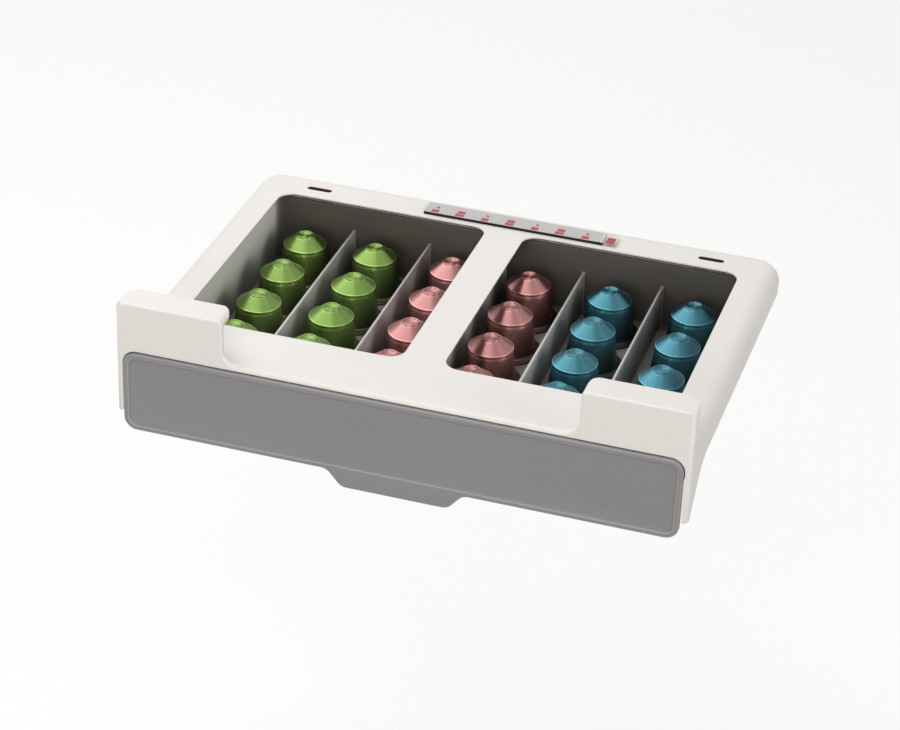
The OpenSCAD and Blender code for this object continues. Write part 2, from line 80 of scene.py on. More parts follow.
back = Vector((math.sin(azimuth) * math.cos(elevation),
               -math.cos(azimuth) * math.cos(elevation),
               math.sin(elevation)))
level_right = back.cross(Vector((0, 0, -1))).normalized()
level_up = back.cross(level_right)
right = level_right * math.cos(roll) + level_up * math.sin(roll)
up = level_up * math.cos(roll) - level_right * math.sin(roll)

camera_data = bpy.data.cameras.new("camera")
camera_data.lens = lens_mm
camera = bpy.data.objects.new("camera", camera_data)
bpy.context.scene.collection.objects.link(camera)
turn = Matrix((right, up, back)).transposed().to_4x4()
camera.matrix_world = Matrix.Translation(target + back * camera_distance) @ turn
bpy.context.scene.camera = camera
bpy.context.scene.view_settings.view_transform = "Standard"
print("camera at", [round(c, 3) for c in camera.location])

# %% [markdown]
# ## Node helpers
#
# A material or a world is a small graph of nodes. It could be clicked together by
# hand, but a script has to name every socket. These helpers add a node, set its
# inputs and hand on its output, so that the cells below read as recipes.

# %% Helpers for node trees
def feed(tree, value, socket):
    """Sets a socket to a number or a colour, or joins another node's output to it."""
    if isinstance(value, bpy.types.NodeSocket):
        tree.links.new(value, socket)
    else:
        socket.default_value = value


def set_inputs(tree, node, **sockets):
    """Feeds the inputs that are named; an underscore stands for a space."""
    for name, value in sockets.items():
        feed(tree, value, node.inputs[name.replace("_", " ")])
    return node


def add_node(tree, kind, **sockets):
    """A new node of this kind, with the named inputs fed."""
    return set_inputs(tree, tree.nodes.new(kind), **sockets)


def math_node(tree, operation, *values):
    """The result of a Math node on one or two values, each a socket or a number."""
    node = tree.nodes.new("ShaderNodeMath")
    node.operation = operation
    for socket, value in zip(node.inputs, values):
        feed(tree, value, socket)
    return node.outputs[0]


def map_range(tree, value, smooth=False, **limits):
    """Carries a value from one range to another, along a straight line or a smooth step."""
    node = add_node(tree, "ShaderNodeMapRange", Value=value, **limits)
    if smooth:
        node.interpolation_type = "SMOOTHSTEP"
    return node.outputs[0]


def parts_of(tree, vector):
    """The X, Y and Z of a vector, by name."""
    return add_node(tree, "ShaderNodeSeparateXYZ", Vector=vector).outputs


def length_of(tree, vector):
    """The length of a vector."""
    node = tree.nodes.new("ShaderNodeVectorMath")
    node.operation = "LENGTH"
    feed(tree, vector, node.inputs[0])
    return node.outputs["Value"]


def object_place(tree):
    """Object coordinates: the place on a piece, in metres."""
    return tree.nodes.new("ShaderNodeTexCoord").outputs["Object"]


def mix_shaders(tree, share, first, second):
    """The first shader where the share is 0, and the second where it is 1."""
    node = tree.nodes.new("ShaderNodeMixShader")
    for socket, value in zip(node.inputs, (share, first.outputs[0], second.outputs[0])):
        feed(tree, value, socket)
    return node


def grey(level):
    """A colour without hue."""
    return (level, level, level, 1)


print("node helpers are ready")

# %% [markdown]
# ## Studio
#
# The main light is a big soft lamp at the upper left. A far one stands low at the
# right, so that its light falls evenly into the drawer, and two weaker ones in
# front lift the panel and the hooks. A dim sky fills the rest. Together they are
# about as bright as a white sky, so a colour renders about as it is written.
#
# The backdrop is near-white, but only for camera, glossy and see-through rays: a
# world as bright as that for every ray would wash out the shadows.

# %% The sky
BACKDROP = 0.955
sky_zenith, sky_horizon = 0.25, 0.16
sky_tint = (1.0, 0.985, 0.965, 1)


def seen_ray(tree):
    """1 for a camera, glossy or transmission ray: the largest of the three."""
    path = tree.nodes.new("ShaderNodeLightPath").outputs
    largest = path["Is Camera Ray"]
    for kind in ("Is Glossy Ray", "Is Transmission Ray"):
        largest = math_node(tree, "MAXIMUM", largest, path[kind])
    return largest


def make_world():
    """A sky that fades from zenith to horizon, behind a near-white backdrop.

    The height of a direction is the Z of its unit vector, which is the sine of its
    elevation."""
    world = bpy.data.worlds.new("studio")
    bpy.context.scene.world = world
    world.use_nodes = True
    tree = world.node_tree
    tree.nodes.clear()
    direction = tree.nodes.new("ShaderNodeTexCoord").outputs["Generated"]
    height = parts_of(tree, direction)["Z"]
    strength = map_range(tree, height, To_Min=sky_horizon, To_Max=sky_zenith)
    lit = add_node(tree, "ShaderNodeBackground", Color=sky_tint, Strength=strength)
    seen = add_node(tree, "ShaderNodeBackground", Color=grey(BACKDROP), Strength=1.0)
    both = mix_shaders(tree, seen_ray(tree), lit, seen)
    add_node(tree, "ShaderNodeOutputWorld", Surface=both.outputs[0])


make_world()
print("sky from", sky_horizon, "to", sky_zenith, "with a backdrop of", BACKDROP)

# %% [markdown]
# ## Lamps
#
# Area lamps stand in for a studio's softboxes. Their size sets how soft the
# shadows are, and their distance how evenly the light falls.

# %% Softboxes
softboxes = [  # name, place, aim, width, height, watts, tint
    ("overhead", (-0.75, 0.35, 1.30), (0, -0.1, 0), 1.6, 1.6, 18.5, (1.0, 0.985, 0.975)),
    ("right_low", (2.5, -0.45, 0.58), (0, -0.1, 0), 1.15, 1.15, 21.4, (1.0, 0.985, 0.965)),
    ("front_top", (0.15, -1.3, 1.35), (0, -0.15, 0), 0.8, 0.5, 4.6, (1.0, 0.98, 0.96)),
    ("front_fill", (-0.1, -1.70, 0.30), (0, -0.1, 0), 1.2, 0.6, 11.4, (1.0, 0.965, 0.925)),
]


def softbox(name, place, aim, width, height, watts, tint):
    """A rectangular lamp at place that shines towards aim."""
    data = bpy.data.lights.new(name, "AREA")
    data.shape = "RECTANGLE"
    data.size, data.size_y = width, height
    data.energy, data.color = watts, tint
    lamp = bpy.data.objects.new(name, data)
    bpy.context.scene.collection.objects.link(lamp)
    place = Vector(place)
    facing = (Vector(aim) - place).to_track_quat("-Z", "Y").to_matrix().to_4x4()
    lamp.matrix_world = Matrix.Translation(place) @ facing


for box in softboxes:
    softbox(*box)
print("lamps:", ", ".join(box[0] for box in softboxes))

# %% [markdown]
# ## Floor
#
# The drawer hangs, so the floor lies well below it and only takes a faint shadow.
# It bounces light as a mid-grey floor does. For the rays that show the background,
# a glow lifts it to near-white, and far out it fades into the backdrop's own
# white, so that no horizon shows. From below it is clear, because the underside of
# the drawer should be open to view.

# %% The floor
floor_z = -0.32
floor_reach = 6.0
floor_bounce, floor_seen, floor_glow = 0.36, 0.30, 0.72
fade_start, fade_end = 1.25, 2.0


def floor_material():
    """Plain paint for light, a lifted shade for the seen rays, and nothing from below."""
    material = bpy.data.materials.new("pale_floor")
    material.use_nodes = True
    tree = material.node_tree
    tree.nodes.clear()
    paint = add_node(tree, "ShaderNodeBsdfDiffuse", Color=grey(floor_bounce))
    faint = add_node(tree, "ShaderNodeBsdfDiffuse", Color=grey(floor_seen))
    glow = add_node(tree, "ShaderNodeEmission", Strength=floor_glow)
    lifted = tree.nodes.new("ShaderNodeAddShader")
    feed(tree, faint.outputs[0], lifted.inputs[0])
    feed(tree, glow.outputs[0], lifted.inputs[1])
    distant = add_node(tree, "ShaderNodeEmission", Strength=BACKDROP)
    far = map_range(tree, length_of(tree, object_place(tree)), smooth=True,
                    From_Min=fade_start, From_Max=fade_end)
    shown = mix_shaders(tree, far, lifted, distant)
    either = mix_shaders(tree, seen_ray(tree), paint, shown)
    below = tree.nodes.new("ShaderNodeNewGeometry").outputs["Backfacing"]
    clear = tree.nodes.new("ShaderNodeBsdfTransparent")
    surface = mix_shaders(tree, below, either, clear)
    add_node(tree, "ShaderNodeOutputMaterial", Surface=surface.outputs[0])
    return material


corners = np.array([[-1, -1], [1, -1], [1, 1], [-1, 1]]) * floor_reach
floor_mesh = bpy.data.meshes.new("floor")
floor_mesh.from_pydata(np.column_stack([corners, np.full(4, floor_z)]).tolist(), [], [(0, 1, 2, 3)])
floor_mesh.materials.append(floor_material())
floor = bpy.data.objects.new("floor", floor_mesh)
bpy.context.scene.collection.objects.link(floor)
print("floor", round(-floor_z / MM), "mm below the top face")

# %% [markdown]
# ## Shared effects
#
# Each finish is a Principled shader in its own material. What several of them
# share is a node group that is built once: a moulded grain, and the slow
# unevenness that handling leaves. The groups read Object coordinates, and because
# every piece lies at the origin, a grain keeps its scale and doesn't slide.

# %% Grain and handling
groups = {}


def new_group(name, output, **defaults):
    """Starts a shared group that reads a Place and these numbers; gives its tree and inputs."""
    group = bpy.data.node_groups.new(name, "ShaderNodeTree")
    group.interface.new_socket("Place", in_out="INPUT", socket_type="NodeSocketVector")
    for label, value in defaults.items():
        socket = group.interface.new_socket(label, in_out="INPUT", socket_type="NodeSocketFloat")
        socket.default_value = value
    group.interface.new_socket(output, in_out="OUTPUT", socket_type="NodeSocketFloat")
    groups[name] = group
    return group, group.nodes.new("NodeGroupInput").outputs


def close_group(group, result):
    """Joins the result to the group's one output."""
    feed(group, result, group.nodes.new("NodeGroupOutput").inputs[0])


def moulded_grain():
    """Height of a spark-eroded mould: noise at the given pitch, with finer noise on top."""
    group, given = new_group("moulded_grain", "Height", Pitch=3000.0)
    noise = add_node(group, "ShaderNodeTexNoise", Vector=given["Place"], Scale=given["Pitch"],
                     Detail=2.0, Roughness=0.6)
    close_group(group, noise.outputs[0])


def handling():
    """Slow noise, stretched so that it wanders from the low value to the high one."""
    group, given = new_group("handling", "Value", Pitch=30.0, Low=0.0, High=1.0)
    noise = add_node(group, "ShaderNodeTexNoise", Vector=given["Place"], Scale=given["Pitch"],
                     Detail=4.0, Roughness=0.62)
    close_group(group, map_range(group, noise.outputs[0], From_Min=0.3, From_Max=0.7,
                                 To_Min=given["Low"], To_Max=given["High"]))


def use_group(tree, name, place, **values):
    """The result of a shared group at this place, with its own values."""
    node = tree.nodes.new("ShaderNodeGroup")
    node.node_tree = groups[name]
    return set_inputs(tree, node, Place=place, **values).outputs[0]


def wander(tree, place, pitch, middle, width):
    """A value that stays within width of its middle and changes slowly, at a pitch per metre."""
    return use_group(tree, "handling", place, Pitch=pitch, Low=middle - width,
                     High=middle + width)


moulded_grain()
handling()
print("groups:", ", ".join(groups))

# %% [markdown]
# ## Painted shade in the drawer
#
# The real drawer is dim at the bottom and at the back, where little light gets in.
# Lamps alone leave it too bright, because the tray is pale and throws light about.
# So that shade is painted into the colour: a mask says how unshaded each place is,
# and the finish goes a painted brown shade where it isn't. The mask knows where
# the drawer is: what lies under its floor or outside its walls stays unshaded.

# %% The painted shade mask
wall_slack, tray_corner = 0.0005, 0.004
rim_width_back, rim_height_low = 0.0013, -0.0039
# Painted shade: the brown that the drawer turns to towards its floor and back.
painted_shade_brown = (0.056, 0.047, 0.038)


def drawer_shade():
    """How unshaded a place is: less so towards the drawer's floor and towards its back, where
    painted shade falls.

    Each of the two shares is a smooth step between the place in painted shade and the
    unshaded place, and the result is their product. A place is inside where it is above
    the floor and its distance from a box, shrunk by the tray's corner radius, is under
    that radius. On the rear rim the box reaches back a little more, over its top, so
    the rim takes painted shade too."""
    group, given = new_group("drawer_shade", "Value", Floor=-0.0434, Rise=0.026, Low=0.45,
                             Back=-0.0096, Depth=0.13, Far=0.55, Side=0.1395)
    at = parts_of(group, given["Place"])
    shares = []
    for away, reach, least in (
            (math_node(group, "SUBTRACT", at["Z"], given["Floor"]), "Rise", "Low"),
            (math_node(group, "SUBTRACT", given["Back"], at["Y"]), "Depth", "Far")):
        part = math_node(group, "DIVIDE", away, given[reach])
        shares.append(map_range(group, part, smooth=True, To_Min=given[least]))
    unshaded = math_node(group, "MULTIPLY", *shares)

    lowest = math_node(group, "SUBTRACT", given["Floor"], wall_slack)
    above = math_node(group, "GREATER_THAN", at["Z"], lowest)
    high = math_node(group, "GREATER_THAN", at["Z"], rim_height_low)
    on_rim = math_node(group, "MULTIPLY", rim_width_back, high)
    side = math_node(group, "SUBTRACT", math_node(group, "ABSOLUTE", at["X"]),
                     math_node(group, "SUBTRACT", given["Side"], tray_corner))
    behind = math_node(group, "SUBTRACT", math_node(group, "SUBTRACT", at["Y"], on_rim),
                       math_node(group, "SUBTRACT", given["Back"], tray_corner))
    beyond = add_node(group, "ShaderNodeCombineXYZ", X=math_node(group, "MAXIMUM", side, 0.0),
                      Y=math_node(group, "MAXIMUM", behind, 0.0))
    within_walls = math_node(group, "LESS_THAN", length_of(group, beyond.outputs[0]),
                             tray_corner + wall_slack)
    inside = math_node(group, "MULTIPLY", above, within_walls)
    outside = math_node(group, "SUBTRACT", 1.0, inside)
    close_group(group, math_node(group, "MAXIMUM", unshaded, outside))


def mix_colours(tree, share, first, second):
    """The first colour where the share is 0, and the second where it is 1."""
    node = tree.nodes.new("ShaderNodeMix")
    node.data_type = "RGBA"
    feed(tree, share, node.inputs[0])
    for number, colour in ((6, first), (7, second)):
        value = (*colour, 1) if isinstance(colour, tuple) else colour
        feed(tree, value, node.inputs[number])
    return node.outputs[2]


def with_painted_shade(tree, place, paint, shade_limits):
    """Paint that turns to the brown of painted shade where the mask finds the place shaded."""
    unshaded = use_group(tree, "drawer_shade", place, **shade_limits)
    return mix_colours(tree, unshaded, painted_shade_brown, paint)


drawer_shade()
print("groups:", ", ".join(groups))

# %% [markdown]
# ## Moulded plastic
#
# The housing, tray, dividers, rails, glides and panel are injection moulded. The
# mould leaves an even colour and a fine grain, and use makes the sheen a little
# uneven. On the panel, light and shade are painted into the colour: its edges
# carry a painted highlight, and the gap beside the legs a painted brown shadow. A
# picture could hold such painted light, but two numbers on each vertex do the same
# and follow the edge exactly.

# %% Plastics
plastic_grain, grain_depth = 3000.0, 0.00002
sheen_pitch, sheen_width = 22.0, 0.06
shade_pitch, shade_width = 9.0, 0.015
# Painted shadow: the brown of the gap beside the panel's legs.
gap_shade_brown = (0.030, 0.020, 0.014)
finish = {}


def new_finish(name):
    """A Principled material, filed under its slot; gives its tree, shader and Object coordinates.

    The frame's plain materials hold the same names, so Blender numbers this one."""
    material = bpy.data.materials.new(name)
    finish[name] = material
    material.use_nodes = True
    tree = material.node_tree
    return tree, tree.nodes["Principled BSDF"], object_place(tree)


def attribute(tree, name, output="Fac"):
    """What the mesh carries under this name at each of its vertices."""
    node = tree.nodes.new("ShaderNodeAttribute")
    node.attribute_name = name
    return node.outputs[output]


def scaled_colour(tree, colour, factor):
    """A colour times a factor that changes over the surface."""
    node = tree.nodes.new("ShaderNodeVectorMath")
    node.operation = "SCALE"
    node.inputs[0].default_value = colour
    return set_inputs(tree, node, Scale=factor).outputs[0]


def bumped(tree, height, depth):
    """The normal of a surface whose relief is the height times a depth in metres."""
    bump = add_node(tree, "ShaderNodeBump", Strength=1.0, Distance=depth, Height=height)
    return bump.outputs["Normal"]


def lifted_by(tree, brightness, name, gain):
    """Brightness times one plus the gain, where the mesh's attribute is 1."""
    share = math_node(tree, "MULTIPLY", attribute(tree, name), gain)
    return math_node(tree, "MULTIPLY", brightness, math_node(tree, "ADD", share, 1.0))


def plastic(name, colour, roughness, painted_light_gain=0.0, **shade_limits):
    """Moulded plastic: an even colour, a fine grain, and a sheen that wanders a little.

    With a painted light gain, the colour is lifted as a painted highlight where the
    mesh's rubbed attribute is above 0, darkened as painted shade where it is below
    0, and turns a painted brown shadow where its sheltered attribute is 1. With shade
    limits, it also takes painted shade towards the drawer's floor and back."""
    tree, shader, place = new_finish(name)
    grained = use_group(tree, "moulded_grain", place, Pitch=plastic_grain)
    brightness = wander(tree, place, shade_pitch, 1.0, shade_width)
    if painted_light_gain:
        brightness = lifted_by(tree, brightness, "rubbed", painted_light_gain)
    paint = scaled_colour(tree, colour, brightness)
    if painted_light_gain:
        paint = mix_colours(tree, attribute(tree, "sheltered"), paint, gap_shade_brown)
    if shade_limits:
        paint = with_painted_shade(tree, place, paint, shade_limits)
    set_inputs(tree, shader, Base_Color=paint, Normal=bumped(tree, grained, grain_depth),
               Roughness=wander(tree, place, sheen_pitch, roughness, sheen_width))


plastic("housing_white", (0.87, 0.845, 0.82), 0.48)
plastic("rail_white", (0.84, 0.82, 0.79), 0.42)
# The tray and the dividers take painted shade towards the drawer's floor and back.
plastic("tray_grey", (0.80, 0.785, 0.77), 0.55, Low=0.22, Rise=0.034, Far=0.04, Depth=0.010)
plastic("divider_grey", (0.74, 0.725, 0.71), 0.45, Low=0.15, Far=0.5)
plastic("glide_white", (0.80, 0.79, 0.75), 0.35)
# The panel carries painted highlights on its edges and a painted shadow beside the legs.
plastic("panel_grey", (0.258, 0.252, 0.262), 0.44, painted_light_gain=0.40)
print("finishes:", ", ".join(finish))

# %% [markdown]
# ## Painted shade in the housing's recesses
#
# Under each screw slot is a closed pocket, and under the lip of each window is a
# step. Both lie in shade, and that shade is painted on them in brown. They are faces
# of the one moulding, so they are found by place: a product of simple comparisons is
# 1 only there.

# %% Pockets and steps
# Painted shade for the pockets and the steps.
recess_shade_brown = (0.150, 0.100, 0.064)
slot_x = 0.118
pocket_half_length, pocket_half_width, pocket_top = 0.0090, 0.0036, -0.0003
step_z, step_half_height = -0.00175, 0.00080
step_y, step_half_width, step_half_depth = -0.09015, 0.1395, 0.08215


def near(tree, value, middle, reach):
    """1 where a value is less than reach from the middle."""
    away = math_node(tree, "ABSOLUTE", math_node(tree, "SUBTRACT", value, middle))
    return math_node(tree, "LESS_THAN", away, reach)


def all_of(tree, *masks):
    """1 where every mask is 1: their product."""
    product = masks[0]
    for mask in masks[1:]:
        product = math_node(tree, "MULTIPLY", product, mask)
    return product


def paint_recess_shade(material, colour):
    """Paints this colour, a painted shade, into the pockets under the slots and on the step under
    the lips.

    A pocket is a box round each slot's middle, below the top face. The step is a
    thin layer between the lips and the plate's underside, inside the outer edges."""
    tree = material.node_tree
    base = tree.nodes["Principled BSDF"].inputs["Base Color"]
    at = parts_of(tree, object_place(tree))
    pocket = all_of(tree,
                    near(tree, math_node(tree, "ABSOLUTE", at["X"]), slot_x, pocket_half_length),
                    near(tree, at["Y"], 0.0, pocket_half_width),
                    math_node(tree, "LESS_THAN", at["Z"], pocket_top))
    step = all_of(tree, near(tree, at["Z"], step_z, step_half_height),
                  near(tree, at["X"], 0.0, step_half_width),
                  near(tree, at["Y"], step_y, step_half_depth))
    recess = math_node(tree, "MAXIMUM", pocket, step)
    feed(tree, mix_colours(tree, recess, base.links[0].from_socket, colour), base)


paint_recess_shade(finish["housing_white"], recess_shade_brown)
print("recesses darkened on housing_white")

# %% [markdown]
# ## Metal
#
# The capsules are anodised aluminium, whose colour lies in its reflections. They
# are pressed and spun, so faint lines run round them, and a highlight spreads
# along the slope. An image of brushed lines would need a UV map. Here each vertex
# carries the cosine and sine of its angle instead, which gives the lines'
# direction to an anisotropic shader. Screws and foil are plainer.

# %% Metals
# The bead gain lifts the shoulder bead's colour as a painted highlight.
spun_roughness, spun_stretch, along_lines, bead_highlight_gain = 0.36, 0.85, 0.25, 0.9
spun_sheen_pitch, spun_sheen_width = 40.0, 0.015
spun_shade_pitch, spun_shade_width = 30.0, 0.04
# Painted shade darkens the capsules towards the drawer's floor, not towards its back.
capsule_shade = {"Low": 0.25, "Rise": 0.021, "Far": 1.0}
metal_grain, metal_grain_depth = 1400.0, 0.00001
metal_sheen_pitch, metal_sheen_width = 300.0, 0.07


def spun_metal(name, colour):
    """Metal brushed round its axis.

    The turn attribute holds the cosine and sine of the angle round the axis, so
    minus the sine and the cosine point along the brushed lines."""
    tree, shader, place = new_finish(name)
    turned_by = parts_of(tree, attribute(tree, "turn", "Vector"))
    tangent = add_node(tree, "ShaderNodeCombineXYZ", Y=turned_by["X"],
                       X=math_node(tree, "MULTIPLY", turned_by["Y"], -1.0))
    brightness = wander(tree, place, spun_shade_pitch, 1.0, spun_shade_width)
    # A painted highlight lifts the bead, and painted shade darkens the capsule towards the drawer's
    # floor.
    brightness = lifted_by(tree, brightness, "rubbed", bead_highlight_gain)
    paint = with_painted_shade(tree, place, scaled_colour(tree, colour, brightness), capsule_shade)
    set_inputs(tree, shader, Metallic=1.0, Anisotropic=spun_stretch,
               Anisotropic_Rotation=along_lines, Tangent=tangent.outputs[0], Base_Color=paint,
               Roughness=wander(tree, place, spun_sheen_pitch, spun_roughness, spun_sheen_width))


def plain_metal(name, colour, roughness):
    """Zinc-plated steel or foil: a metal whose sheen is a little blotchy."""
    tree, shader, place = new_finish(name)
    grained = use_group(tree, "moulded_grain", place, Pitch=metal_grain)
    set_inputs(tree, shader, Metallic=1.0, Base_Color=(*colour, 1),
               Normal=bumped(tree, grained, metal_grain_depth),
               Roughness=wander(tree, place, metal_sheen_pitch, roughness, metal_sheen_width))


spun_metal("capsule_green", (0.178, 0.280, 0.074))
spun_metal("capsule_pink", (0.390, 0.190, 0.184))
spun_metal("capsule_blue", (0.058, 0.182, 0.226))
plain_metal("lid_foil", (0.80, 0.80, 0.81), 0.25)
plain_metal("screw_steel", (0.62, 0.62, 0.63), 0.32)
print("finishes:", len(finish))

# %% [markdown]
# ## Foam tape, its liner and its pull film
#
# The foam is rough and dark, with small closed cells. The liner is coated paper
# with rows of small printed marks, and the film at its end is clear, apart from
# its ink and the end that is glued to the foam. A mark is too small to be worth
# geometry, so a mask folds the length of the tape into one pitch and asks how far
# each point is from the middle of a mark.

# %% Foam, paper and film
cell_pitch, cell_depth = 3500.0, 0.0001
foam_roughness, foam_gloss = 0.95, 0.15
foam_shade_pitch, foam_shade_middle, foam_shade_width = 700.0, 1.05, 0.35
print_sheen_pitch, print_sheen_width = 90.0, 0.06
tape_low, tape_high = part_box("release_liner")
tape_middle = (tape_low[1] + tape_high[1]) / 2
mark_pitch = 0.0150
mark_first = tape_low[0] + 0.0064
mark_rows = [  # first mark's X, row's Y, length, height
    (mark_first, tape_middle - 0.0036, 0.0043, 0.0036),
    (mark_first + 0.0004, tape_middle + 0.0009, 0.0019, 0.0021),
    (mark_first + mark_pitch - 0.0003, tape_middle - 0.0039, 0.0052, 0.0031),
    (mark_first + mark_pitch, tape_middle - 0.0003, 0.0046, 0.0034),
]
ink_red = (0.40, 0.006, 0.012)
film_alpha, glue_alpha = 0.35, 0.86
glue_end = float(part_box("adhesive_foam")[1][0])


def foam(name, colour):
    """Closed-cell foam: small cells as a Voronoi bump, and hardly any shine."""
    tree, shader, place = new_finish(name)
    cells = add_node(tree, "ShaderNodeTexVoronoi", Vector=place, Scale=cell_pitch)
    brightness = wander(tree, place, foam_shade_pitch, foam_shade_middle, foam_shade_width)
    set_inputs(tree, shader, Base_Color=scaled_colour(tree, colour, brightness),
               Roughness=foam_roughness, Specular_IOR_Level=foam_gloss,
               Normal=bumped(tree, cells.outputs["Distance"], cell_depth))


def printed_dashes():
    """1 inside a row of short marks along X, 0 outside.

    The place along the row is folded into one pitch, and a mark is where the
    distance to the middle of the pitch is under half its length and the distance
    to the row is under half its height. A mark is broken into small blocks, as a
    line of print is, by leaving out the first share of each block."""
    group, given = new_group("printed_dashes", "Mask", First=0.0, Pitch=0.03, Length=0.005,
                             Row=0.0, Height=0.002, Block=0.0011, Gap=0.10)
    at = parts_of(group, given["Place"])
    along = math_node(group, "SUBTRACT", at["X"], given["First"])
    turns = math_node(group, "DIVIDE", along, given["Pitch"])
    folded = math_node(group, "FRACT", math_node(group, "ADD", turns, 0.5))
    off_middle = math_node(group, "ABSOLUTE", math_node(group, "SUBTRACT", folded, 0.5))
    near_x = math_node(group, "LESS_THAN",
                       math_node(group, "MULTIPLY", off_middle, given["Pitch"]),
                       math_node(group, "MULTIPLY", given["Length"], 0.5))
    near_y = near(group, at["Y"], given["Row"], math_node(group, "MULTIPLY", given["Height"], 0.5))
    in_block = math_node(group, "FRACT", math_node(group, "DIVIDE", along, given["Block"]))
    block = math_node(group, "GREATER_THAN", in_block, given["Gap"])
    close_group(group, all_of(group, near_x, near_y, block))


def printed_sheet(name, paper, roughness, clear=False):
    """Paper or film with the red marks; clear film shows only its ink and its glued end."""
    tree, shader, place = new_finish(name)
    mask = 0.0
    for first, row, length, height in mark_rows:
        dashes = use_group(tree, "printed_dashes", place, First=first, Pitch=2 * mark_pitch,
                           Length=length, Row=row, Height=height)
        mask = math_node(tree, "MAXIMUM", dashes, mask)
    set_inputs(tree, shader, Base_Color=mix_colours(tree, mask, paper, ink_red),
               Roughness=wander(tree, place, print_sheen_pitch, roughness, print_sheen_width))
    if clear:
        glued = math_node(tree, "LESS_THAN", parts_of(tree, place)["X"], glue_end)
        dense = math_node(tree, "MAXIMUM", mask, math_node(tree, "MULTIPLY", glued, glue_alpha))
        set_inputs(tree, shader, Alpha=math_node(tree, "MAXIMUM", dense, film_alpha))


printed_dashes()
foam("foam_black", (0.018, 0.018, 0.019))
printed_sheet("liner_grey", (0.545, 0.54, 0.545), 0.42)
printed_sheet("clear_film", (0.80, 0.765, 0.71), 0.25, clear=True)
print("finishes:", len(finish))

# %% [markdown]
# ## How a new piece is laid out
#
# Most new pieces here are one idea: a closed loop of points that is carried through
# space, row by row, with a flat cap on its first and last row. A panel's rows
# climb over its edge, a divider's rows run along its length, and a capsule's rows
# are the rings of a lathe. So one function turns a block of rows into a mesh.

# %% Rows of loops into a mesh
slot_of = {part["node"]: part["material_slot"] for part in frame["record"]["subparts"]}
body_of = {node: body for body, names in frame["record"]["behaviour"]["bodies"].items()
           for node in names}


def box_mm(node):
    """Lowest and highest corner of a node, in millimetres, as numpy arrays."""
    low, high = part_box(node)
    return np.array(low) / MM, np.array(high) / MM


def shade_smooth(mesh, sharp_deg=None):
    """Smooth shading, apart from edges that turn by more than an angle, if one is given."""
    mesh.polygons.foreach_set("use_smooth", np.ones(len(mesh.polygons), dtype=bool))
    if sharp_deg is not None:
        mesh.set_sharp_from_angle(angle=math.radians(sharp_deg))


def dress(name, mesh, slot, body, replaced):
    """Puts a finished mesh into the scene, on its body, in place of the nodes it stands for."""
    piece = bpy.data.objects.new(name, mesh)
    bpy.context.scene.collection.objects.link(piece)
    mesh.materials.clear()
    mesh.materials.append(finish[slot])
    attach(piece, body)
    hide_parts(*replaced)
    print(name, "has", len(mesh.vertices), "points")
    return piece


def loop_faces(rows, count):
    """Quads between neighbouring rows of closed loops, as indices into the flat point list."""
    row = np.arange(rows - 1)[:, None] * count
    step = np.arange(count)[None, :]
    after = (step + 1) % count
    return np.stack([row + step, row + after, row + count + after, row + count + step],
                    axis=-1).reshape(-1, 4)


def piece_from_loops(name, blocks, slot, body, replaced, sharp_deg=35, **attributes):
    """One object from blocks of shape (copies, rows, count, 3) in millimetres, ends capped.

    Each further array becomes a vertex attribute of that name, for the materials."""
    copies, rows, count, _ = blocks.shape
    quads = loop_faces(rows, count)
    first = np.arange(count)[::-1]
    last = np.arange(count) + (rows - 1) * count
    faces = []
    for start in range(0, copies * rows * count, rows * count):
        faces += (quads + start).tolist()
        faces += [(first + start).tolist(), (last + start).tolist()]
    mesh = bpy.data.meshes.new(name)
    mesh.from_pydata((blocks.reshape(-1, 3) * MM).tolist(), [], faces)
    for label, values in attributes.items():
        kind, field = ("FLOAT_VECTOR", "vector") if values.shape[-1] == 3 else ("FLOAT", "value")
        layer = mesh.attributes.new(label, kind, "POINT")
        layer.data.foreach_set(field, values.astype(np.float32).ravel())
    work = bmesh.new()
    work.from_mesh(mesh)
    bmesh.ops.recalc_face_normals(work, faces=work.faces)
    work.to_mesh(mesh)
    work.free()
    shade_smooth(mesh, sharp_deg)
    return dress(name, mesh, slot, body, replaced)


print("slots in the record:", len(set(slot_of.values())))
print("bodies:", ", ".join(sorted(set(body_of.values()))))

# %% [markdown]
# ## Moulded edges
#
# The housing is one moulding in which fillets, hooks, windows and bosses cross.
# The frame already holds those forms exactly, so the quickest honest way is to
# weld a copy of the node and give its sharp edges the small radius that every
# moulded edge has. A Bevel modifier takes its width from a weight on each edge,
# and a Weighted Normal modifier keeps the flat faces flat beside the roundings.

# %% A welded copy with soft edges
weld_distance, flat_deg = 1e-6, 0.2
sharp_edge_deg = 28


def smooth_step(t):
    """3 t squared minus 2 t cubed: a step from 0 to 1 that starts and ends level."""
    return t * t * (3 - 2 * t)


def edge_ends(mesh):
    """Both ends of every edge in millimetres, as an array of shape (edges, 2, 3)."""
    pairs = np.empty(2 * len(mesh.edges), dtype=np.int32)
    points = np.empty(3 * len(mesh.vertices), dtype=np.float32)
    mesh.edges.foreach_get("vertices", pairs)
    mesh.vertices.foreach_get("co", points)
    return points.astype(float).reshape(-1, 3)[pairs.reshape(-1, 2)] / MM


